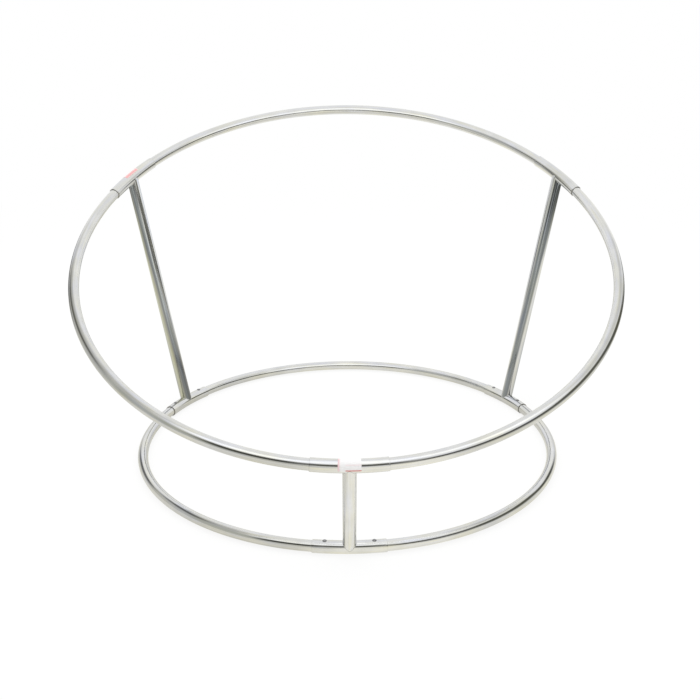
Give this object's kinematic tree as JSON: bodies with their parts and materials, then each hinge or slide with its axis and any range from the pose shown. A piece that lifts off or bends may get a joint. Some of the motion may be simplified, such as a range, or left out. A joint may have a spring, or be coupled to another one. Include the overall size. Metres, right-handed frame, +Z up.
{
  "type": "roundnet ring stand",
  "caption": "Knock-down stand of plated steel tube: a tilted upper ring to carry a bouncing net, a smaller ring on the floor, leaning posts and spring-button sleeves.",
  "frame": {"origin": "on the floor, under the centre of the lower ring", "axes": "+Z up; the low side of the tilted upper ring looks towards -Y and its high side towards +Y; +X to the right seen from the low side"},
  "size_m": [0.9998, 0.9177, 0.5933],
  "materials": {
    "ring_steel": "bright plated, mirror-like",
    "sleeve_steel": "bright plated, mirror-like",
    "post_steel": "bright plated, slightly soft",
    "button_steel": "dull steel",
    "spring_steel": "dull spring steel",
    "label": "plain, bare of print"
  },
  "bodies": {
    "frame": {"lower_sleeve_front": "sleeve_steel", "lower_sleeve_rear_right": "sleeve_steel", "lower_sleeve_rear_left": "sleeve_steel", "lower_ring_right": "ring_steel", "lower_ring_right_clip_front": "spring_steel", "lower_ring_right_clip_rear": "spring_steel", "lower_ring_rear": "ring_steel", "lower_ring_rear_clip_right": "spring_steel", "lower_ring_rear_clip_left": "spring_steel", "lower_ring_left": "ring_steel", "lower_ring_left_clip_rear": "spring_steel", "lower_ring_left_clip_front": "spring_steel", "upper_sleeve_front": "sleeve_steel", "upper_sleeve_rear_right": "sleeve_steel", "upper_sleeve_rear_left": "sleeve_steel", "upper_ring_right": "ring_steel", "upper_ring_right_clip_front": "spring_steel", "upper_ring_right_clip_rear": "spring_steel", "upper_ring_rear": "ring_steel", "upper_ring_rear_clip_right": "spring_steel", "upper_ring_rear_clip_left": "spring_steel", "upper_ring_left": "ring_steel", "upper_ring_left_clip_rear": "spring_steel", "upper_ring_left_clip_front": "spring_steel", "post_front": "post_steel", "post_rear_right": "post_steel", "post_rear_left": "post_steel", "label_front": "label", "label_rear_left": "label"},
    "lower_right_front_button": {"lower_ring_right_button_front": "button_steel"},
    "lower_right_rear_button": {"lower_ring_right_button_rear": "button_steel"},
    "lower_rear_right_button": {"lower_ring_rear_button_right": "button_steel"},
    "lower_rear_left_button": {"lower_ring_rear_button_left": "button_steel"},
    "lower_left_rear_button": {"lower_ring_left_button_rear": "button_steel"},
    "lower_left_front_button": {"lower_ring_left_button_front": "button_steel"},
    "upper_right_front_button": {"upper_ring_right_button_front": "button_steel"},
    "upper_right_rear_button": {"upper_ring_right_button_rear": "button_steel"},
    "upper_rear_right_button": {"upper_ring_rear_button_right": "button_steel"},
    "upper_rear_left_button": {"upper_ring_rear_button_left": "button_steel"},
    "upper_left_rear_button": {"upper_ring_left_button_rear": "button_steel"},
    "upper_left_front_button": {"upper_ring_left_button_front": "button_steel"}
  },
  "joints": [
    {"name": "lower_right_front_press", "type": "slide", "parent": "frame", "child": "lower_right_front_button", "axis": [0, 0, -1], "range_m": [0, 0.003], "stiffness_N_per_m": 2000, "springref_m": -0.002, "deforming": ["lower_ring_right_clip_front"]},
    {"name": "lower_right_rear_press", "type": "slide", "parent": "frame", "child": "lower_right_rear_button", "axis": [0, 0, -1], "range_m": [0, 0.003], "stiffness_N_per_m": 2000, "springref_m": -0.002, "deforming": ["lower_ring_right_clip_rear"]},
    {"name": "lower_rear_right_press", "type": "slide", "parent": "frame", "child": "lower_rear_right_button", "axis": [0, 0, -1], "range_m": [0, 0.003], "stiffness_N_per_m": 2000, "springref_m": -0.002, "deforming": ["lower_ring_rear_clip_right"]},
    {"name": "lower_rear_left_press", "type": "slide", "parent": "frame", "child": "lower_rear_left_button", "axis": [0, 0, -1], "range_m": [0, 0.003], "stiffness_N_per_m": 2000, "springref_m": -0.002, "deforming": ["lower_ring_rear_clip_left"]},
    {"name": "lower_left_rear_press", "type": "slide", "parent": "frame", "child": "lower_left_rear_button", "axis": [0, 0, -1], "range_m": [0, 0.003], "stiffness_N_per_m": 2000, "springref_m": -0.002, "deforming": ["lower_ring_left_clip_rear"]},
    {"name": "lower_left_front_press", "type": "slide", "parent": "frame", "child": "lower_left_front_button", "axis": [0, 0, -1], "range_m": [0, 0.003], "stiffness_N_per_m": 2000, "springref_m": -0.002, "deforming": ["lower_ring_left_clip_front"]},
    {"name": "upper_right_front_press", "type": "slide", "parent": "frame", "child": "upper_right_front_button", "axis": [0, -0.4064, 0.9137], "range_m": [0, 0.003], "stiffness_N_per_m": 2000, "springref_m": -0.002, "deforming": ["upper_ring_right_clip_front"]},
    {"name": "upper_right_rear_press", "type": "slide", "parent": "frame", "child": "upper_right_rear_button", "axis": [0, -0.4064, 0.9137], "range_m": [0, 0.003], "stiffness_N_per_m": 2000, "springref_m": -0.002, "deforming": ["upper_ring_right_clip_rear"]},
    {"name": "upper_rear_right_press", "type": "slide", "parent": "frame", "child": "upper_rear_right_button", "axis": [0, -0.4064, 0.9137], "range_m": [0, 0.003], "stiffness_N_per_m": 2000, "springref_m": -0.002, "deforming": ["upper_ring_rear_clip_right"]},
    {"name": "upper_rear_left_press", "type": "slide", "parent": "frame", "child": "upper_rear_left_button", "axis": [0, -0.4064, 0.9137], "range_m": [0, 0.003], "stiffness_N_per_m": 2000, "springref_m": -0.002, "deforming": ["upper_ring_rear_clip_left"]},
    {"name": "upper_left_rear_press", "type": "slide", "parent": "frame", "child": "upper_left_rear_button", "axis": [0, -0.4064, 0.9137], "range_m": [0, 0.003], "stiffness_N_per_m": 2000, "springref_m": -0.002, "deforming": ["upper_ring_left_clip_rear"]},
    {"name": "upper_left_front_press", "type": "slide", "parent": "frame", "child": "upper_left_front_button", "axis": [0, -0.4064, 0.9137], "range_m": [0, 0.003], "stiffness_N_per_m": 2000, "springref_m": -0.002, "deforming": ["upper_ring_left_clip_front"]}
  ]
}
